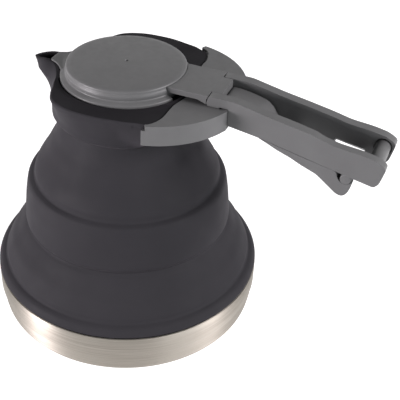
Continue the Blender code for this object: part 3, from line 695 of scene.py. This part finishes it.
def make_collar():
    outline = wing_outline(FAR) + wing_outline(NEAR)[:0:-1]
    collar = plate("collar_and_tongue", outline, 182.5 * MM, 197 * MM, upright=False)
    for side in (NEAR, FAR):
        turn = side * math.radians(WING_STEPS[side])
        step = turned_box(71.5 * MM, turn, 196.6 * MM, STEP_SIZE)
        combine(collar, step, "DIFFERENCE")
    soften(settle(collar), 0.7 * MM)
    outline = from_hinge([
        (0.0229, -0.0059), (0.0686, -0.0059), (0.1297, -0.0136), (0.1924, -0.0271),
        (0.2415, -0.0415), (0.2678, -0.061), (0.2881, -0.0822), (0.3, -0.1059),
        (0.3169, -0.1254), (0.2966, -0.1288), (0.2831, -0.1085), (0.2695, -0.0881),
        (0.2492, -0.0678), (0.1924, -0.0534), (0.15, -0.0534), (0.15, -0.143), (0.0229, -0.143),
    ])
    tongue = plate("tongue", rounded(outline, 2 * MM, 3, True), -TONGUE_HALF, TONGUE_HALF)
    soften(tongue, 0.8 * MM)
    outline = from_hinge([
        (0.14, -0.03), (0.24, -0.047), (0.262, -0.08), (0.262, -0.13), (0.225, -0.143),
        (0.14, -0.143),
    ])
    boss = plate("boss", outline, -4.9 * MM, 4.9 * MM)
    recess = bar("recess", 5.9 * MM, HINGE_X, HINGE_Z, -19.1 * MM, 19.1 * MM)
    hole = bar("hole", PIN_HOLE, 99 * MM, 186.6 * MM, -12 * MM, 12 * MM)
    combine(collar, recess, "DIFFERENCE")
    combine(collar, tongue, "UNION")
    combine(collar, boss, "UNION")
    combine(collar, hole, "DIFFERENCE")
    dress(settle(collar), GREY, "neck", "plastic", "collar")


def make_keeper():
    profile = in_mm([(36, 200), (61, 199.8), (67.8, 197.3), (67.58, 203.9), (36, 203.9)])
    keeper = plate("keeper_plate", profile, -KEEPER_HALF, KEEPER_HALF)
    soften(keeper, 0.4 * MM, share=lambda spot: 1 if spot.x < 60 * MM else 0.4)
    profile = in_mm([(60, 197.3), (75, 197.3), (75, 203.9), (60, 203.88)])
    block = plate("block", profile, -11.2 * MM, 11.2 * MM)
    combine(keeper, soften(block, 0.3 * MM, 2), "UNION")
    combine(keeper, upright_bar(42.68 * MM, 20 * MM), "DIFFERENCE")
    for side in (NEAR, FAR):
        hollow = bar("root_hollow", 5.86 * MM, HINGE_X, HINGE_Z, *on_side(side, 11.25, 20))
        combine(keeper, hollow, "DIFFERENCE")
    hole = bar("hole", PIN_HOLE, HINGE_X, HINGE_Z, -19 * MM, 19 * MM)
    combine(keeper, hole, "DIFFERENCE")
    dress(settle(keeper), GREY, "neck", "plastic", "lid_keeper_plate")


# Handle arms, end bar, latch bar and latch frame

ROOT_RADIUS = 5.4 * MM  # of the arms' roots round the hinge
ROOT_CORNER = [(68.0, 203.2), (68.5, 203.84), (69.0, 204.02)]
END_BAR = (182.4 * MM, 178.6 * MM)  # its middle, as X and Z
CATCH_BAR = (166 * MM, 166 * MM)
RELIEF = [(148, 150), (172, 150), (171, 174), (150, 177.6)]  # the hollow under an arm's end
SLIMMER_END = 1.1 * MM


def arm_outline():
    """An arm from the side: along its top, round its end, back below and round its root."""
    arm = from_hinge([
        (0, 0.0375), (0.123, 0.0373), (0.212, 0.0186), (0.326, -0.005), (0.453, -0.0263),
        (0.614, -0.0559), (0.725, -0.0814), (0.86, -0.0932), (0.945, -0.1093), (0.992, -0.1364),
        (1, -0.1542), (0.994, -0.1839), (0.987, -0.217), (0.975, -0.262), (0.95, -0.287),
        (0.932, -0.2839), (0.84, -0.2664), (0.273, -0.1486), (0.0856, -0.1212),
        (0.0856, -0.0144), (0.034, -0.0144),
    ])
    outline = rounded(arm, [0] + [3 * MM] * 17 + [0.6 * MM, 0.6 * MM, 0], 3, True)
    steps = 8
    for i in range(steps + 1):
        angle = math.radians(-75) - math.radians(105) * i / steps
        x = HINGE_X + ROOT_RADIUS * math.cos(angle)
        outline.append((x, HINGE_Z + ROOT_RADIUS * math.sin(angle)))
    return outline + in_mm(ROOT_CORNER)


def slim_end(arm):
    """Draws in the top and the inner face of the near arm towards its end."""
    for vertex in arm.data.vertices:
        outwards = ease(vertex.co.x, 138 * MM, 150 * MM)
        if vertex.co.y > -15 * MM:
            vertex.co.y -= SLIMMER_END * outwards
        vertex.co.z -= SLIMMER_END * outwards * ease(vertex.co.z, 176 * MM, 184 * MM)


def make_handle():
    outline = arm_outline()
    arms = (("left_arm", NEAR, "handle_arm_left"), ("right_arm", FAR, "handle_arm_right"))
    for name, side, node in arms:
        piece = plate(name, outline, *on_side(side, 11.5, 18.8))
        if side == NEAR:
            slim_end(piece)
        soften(piece, 2.4 * MM, 5, share=lambda spot: 0.12 + 0.88 * ease(spot.x, 76 * MM, 92 * MM))
        hollow = plate("relief", in_mm(RELIEF), *on_side(side, 11, 19.4))
        for vertex in hollow.data.vertices:
            if abs(vertex.co.y) > 15 * MM and vertex.co.z > 160 * MM:
                vertex.co.z -= 6.9 * MM
        combine(settle(piece), hollow, "DIFFERENCE")
        socket = bar("socket", 6.4 * MM, *END_BAR, *on_side(side, 10, 13.5))
        combine(piece, socket, "DIFFERENCE")
        dress(settle(piece), GREY, "handle", "plastic", node)
    grip = bar("end_bar", 5.2 * MM, *END_BAR, -13.4 * MM, 13.4 * MM, sides=64, edge=0.4 * MM)
    dress(grip, GREY, "handle", "plastic", "handle_end_bar")
    catch = bar("catch_bar", 3.9 * MM, *CATCH_BAR, -18.4 * MM, 14.6 * MM, edge=0.7 * MM)
    bracket = in_mm([(160, 161), (169, 161), (171, 173), (158, 174)])
    combine(catch, plate("bracket", bracket, -12.4 * MM, -10.4 * MM), "UNION")
    dress(settle(catch), GREY, "handle", "fixings", "latch_bar")


PIVOT_X = 99.001 * MM
PIVOT_Z = 186.596 * MM
LATCH_REACH = 72.0 * MM  # from the pivot to the frame's end
BRIDGE_HALF = 15.4 * MM
LUG_RADIUS = 4 * MM


def from_pivot(shares):
    """Points given in shares of the latch's reach from its pivot."""
    return [(PIVOT_X + LATCH_REACH * along, PIVOT_Z + LATCH_REACH * up) for along, up in shares]


def make_latch():
    outline = from_pivot([
        (0.075, -0.068), (0.146, -0.0972), (0.2667, -0.1514), (0.3972, -0.1972),
        (0.4986, -0.2444), (0.5972, -0.2819), (0.6569, -0.3042), (0.7208, -0.3528),
        (0.8056, -0.4167), (0.8583, -0.4583), (0.9167, -0.4736), (0.9597, -0.4375),
        (0.9861, -0.3625), (0.9935, -0.318), (0.9865, -0.3057), (0.969, -0.327),
        (0.9306, -0.3417), (0.8917, -0.325), (0.8639, -0.3056), (0.8472, -0.2722),
        (0.8375, -0.2264), (0.75, -0.208), (0.5, -0.1583), (0.25, -0.106), (0.1, -0.075),
    ])
    outline = rounded(outline, 2 * MM, 3, True)
    latch = plate("latch_loop", outline, *on_side(NEAR, 12.5, 18.3))
    soften(latch, 0.5 * MM)
    other = plate("plate", outline, *on_side(FAR, 12.5, 18.3))
    for vertex in other.data.vertices:
        along = ease(vertex.co.x, 140 * MM, 150 * MM)
        along *= 1 - ease(vertex.co.x, 164 * MM, 170 * MM)
        vertex.co.z -= 2.4 * MM * along * ease(vertex.co.z, 164 * MM, 168 * MM)
    combine(latch, soften(other, 0.5 * MM), "UNION")
    bridge = from_pivot([(0.15, -0.1), (0.1556, -0.135), (0.33, -0.172), (0.33, -0.135)])
    combine(latch, plate("bridge", bridge, -BRIDGE_HALF, BRIDGE_HALF), "UNION")
    pull = from_pivot([
        (0.8333, -0.4306), (0.8667, -0.4583), (0.9167, -0.4681), (0.9444, -0.4333),
        (0.8889, -0.4125),
    ])
    pull = rounded(pull, 1.5 * MM, 3, True)
    combine(latch, plate("pull", pull, -BRIDGE_HALF, BRIDGE_HALF), "UNION")
    lug = from_pivot([
        (0.0, -0.0556), (0.15, -0.135), (0.33, -0.17), (0.33, -0.14), (0.16, -0.095),
        (0.04, 0.02), (0, 0.0556),
    ])
    steps = 12
    for i in range(1, steps):
        angle = math.pi / 2 + math.pi * i / steps
        x = PIVOT_X + LUG_RADIUS * math.cos(angle)
        lug.append((x, PIVOT_Z + LUG_RADIUS * math.sin(angle)))
    for side in (NEAR, FAR):
        combine(latch, plate("lug", lug, *on_side(side, 5.3, 9.9)), "UNION")
    hole = bar("hole", PIN_HOLE, PIVOT_X, PIVOT_Z, -12 * MM, 12 * MM)
    combine(latch, hole, "DIFFERENCE")
    dress(settle(latch), GREY, "latch", "latch", "latch_frame")


# The lid

WINDOW_HALF = 18.5 * MM


def make_lid():
    top = [
        (0.9, 205.5), (1.3, 206.15), (20, 205.85), (38, 205.2), (41.3, 204.85), (42.05, 204.25),
        (42.3, 203.4), (42.25, 202.7), (42.6, 202.1), (43.0, 201.3), (43.2, 200.2), (43.2, 199.2),
    ]
    rim = [
        (43.0, 198.6), (43.1, 198.1), (43.5, 197.7), (44.2, 197.45), (46.0, 196.6), (46.5, 196.2),
        (46.7, 195.6), (46.7, 193.5), (40.1, 193.5), (40.1, 200.4), (0.9, 203.9),
    ]
    shell = drawn_round("lid_cover", in_mm(top + rim), smooth=50)
    side = [(-40, 17), (-44, 16), (-47.2, 12.2), (-50.4, 9.4), (-53.6, 7.7), (-57.2, 6.2)]
    outline = in_mm([(x, -y) for x, y in side] + side[::-1])
    outline = rounded(outline, [0] + [2 * MM] * 10 + [0], 4, True)
    beak = plate("beak", outline, 195.9 * MM, 197.2 * MM, upright=False)
    combine(shell, soften(beak, 0.6 * MM), "UNION")
    outline = [
        (36 * MM, -WINDOW_HALF), (60 * MM, -WINDOW_HALF),
        (60 * MM, WINDOW_HALF), (36 * MM, WINDOW_HALF),
    ]
    window = plate("window", outline, 193 * MM, 207 * MM, upright=False)
    combine(window, upright_bar(42.43 * MM, 30 * MM), "DIFFERENCE")
    combine(shell, window, "DIFFERENCE")
    dress(settle(shell), GREY, "lid", "plastic", "lid_shell")


def finish_inner_pieces():
    """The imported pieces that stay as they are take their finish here."""
    finishes = {
        "base_clamp_ring": STEEL,
        "neck_stiffener_ring": INNER_GREY,
        "lid_plug": INNER_GREY,
        "lid_gasket": SEAL,
    }
    for name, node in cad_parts.items():
        finish = finishes.get(name, PLAIN_STEEL)
        for i in range(len(node.data.materials)):
            node.data.materials[i] = finish


# Floor, light and camera

FLOOR_SIZE = 12
FLOOR_DROP = 0.5 * MM
FLOOR_GLOW = 0.88
WHITE = (1, 1, 1, 1)
AIM = Vector((0, 0, 0.1))

# Name, place, size, power and colour
LAMPS = (
    ("left", (-1.11, -1.13, 0.34), 0.5, 32.5, (1.0, 0.94, 0.98)),
    ("right", (1.41, 0.1, 0.85), 0.5, 22.5, (1.0, 0.96, 0.99)),
    ("front", (-0.2, -1.57, 0.34), 0.9, 1.5, (0.9, 0.97, 1.0)),
    ("fill", (1.4, -0.72, 0.3), 0.9, 7.5, (0.94, 0.96, 1.0)),
)


def camera_ray_mix(tree, output, seen, lit):
    """Shows one shader to the camera, metal and glass, and lights the piece with the other."""
    path = tree.nodes.new("ShaderNodeLightPath")
    first = tree.nodes.new("ShaderNodeMath")
    first.operation = "MAXIMUM"
    second = tree.nodes.new("ShaderNodeMath")
    second.operation = "MAXIMUM"
    tree.links.new(path.outputs["Is Camera Ray"], first.inputs[0])
    tree.links.new(path.outputs["Is Transmission Ray"], first.inputs[1])
    tree.links.new(first.outputs[0], second.inputs[0])
    tree.links.new(path.outputs["Is Glossy Ray"], second.inputs[1])
    mix = tree.nodes.new("ShaderNodeMixShader")
    tree.links.new(second.outputs[0], mix.inputs[0])
    tree.links.new(lit.outputs[0], mix.inputs[1])
    tree.links.new(seen.outputs[0], mix.inputs[2])
    tree.links.new(mix.outputs[0], output)


def make_floor():
    """A pale floor that glows towards the camera and still takes the kettle's shadow."""
    clear_selection()
    bpy.ops.mesh.primitive_plane_add(size=FLOOR_SIZE, location=(0, 0, -FLOOR_DROP))
    floor = bpy.context.object
    floor.name = "floor"
    made = bpy.data.materials.new("pale floor")
    made.use_nodes = True
    tree = made.node_tree
    tree.nodes.clear()
    out = tree.nodes.new("ShaderNodeOutputMaterial")
    plain = tree.nodes.new("ShaderNodeBsdfDiffuse")
    plain.inputs["Color"].default_value = (0.62, 0.62, 0.62, 1)
    seen = tree.nodes.new("ShaderNodeAddShader")
    glow = tree.nodes.new("ShaderNodeEmission")
    glow.inputs["Strength"].default_value = FLOOR_GLOW
    tree.links.new(plain.outputs[0], seen.inputs[0])
    tree.links.new(glow.outputs[0], seen.inputs[1])
    camera_ray_mix(tree, out.inputs["Surface"], seen, plain)
    floor.data.materials.append(made)


def make_world():
    """White behind the kettle, and only a little light from it."""
    world = bpy.data.worlds.new("studio")
    bpy.context.scene.world = world
    world.use_nodes = True
    tree = world.node_tree
    tree.nodes.clear()
    out = tree.nodes.new("ShaderNodeOutputWorld")
    seen = tree.nodes.new("ShaderNodeBackground")
    seen.inputs["Strength"].default_value = 1.0
    seen.inputs["Color"].default_value = WHITE
    lit = tree.nodes.new("ShaderNodeBackground")
    lit.inputs["Strength"].default_value = 0.05
    lit.inputs["Color"].default_value = WHITE
    camera_ray_mix(tree, out.inputs["Surface"], seen, lit)


def add_lamp(name, place, size, power, colour):
    light = bpy.data.lights.new(name, "AREA")
    light.color = colour
    light.shape = "DISK"
    light.size = size
    light.energy = power
    lamp = bpy.data.objects.new(name, light)
    bpy.context.scene.collection.objects.link(lamp)
    lamp.location = place
    lamp.rotation_euler = (AIM - Vector(place)).to_track_quat("-Z", "Y").to_euler()


def make_camera():
    right = Vector((0.92793, 0.37051, 0.04085))
    up = Vector((-0.25213, 0.54319, 0.80086))
    back = right.cross(up)
    camera = bpy.data.objects.new("camera", bpy.data.cameras.new("camera"))
    camera.data.lens = 77.0
    camera.data.sensor_width = 36.0
    camera.data.clip_start = 0.01
    turn = Matrix((right, up, back)).transposed().to_4x4()
    camera.matrix_world = Matrix.Translation((0.2346, -0.4811, 0.4852)) @ turn
    bpy.context.scene.collection.objects.link(camera)
    bpy.context.scene.camera = camera


finish_inner_pieces()
make_pan()
make_base_tier()
make_middle_tier()
make_neck()
make_collar()
make_keeper()
make_handle()
make_latch()
make_lid()
make_floor()
make_world()
for lamp in LAMPS:
    add_lamp(*lamp)
make_camera()
bpy.context.scene.view_settings.view_transform = "Standard"
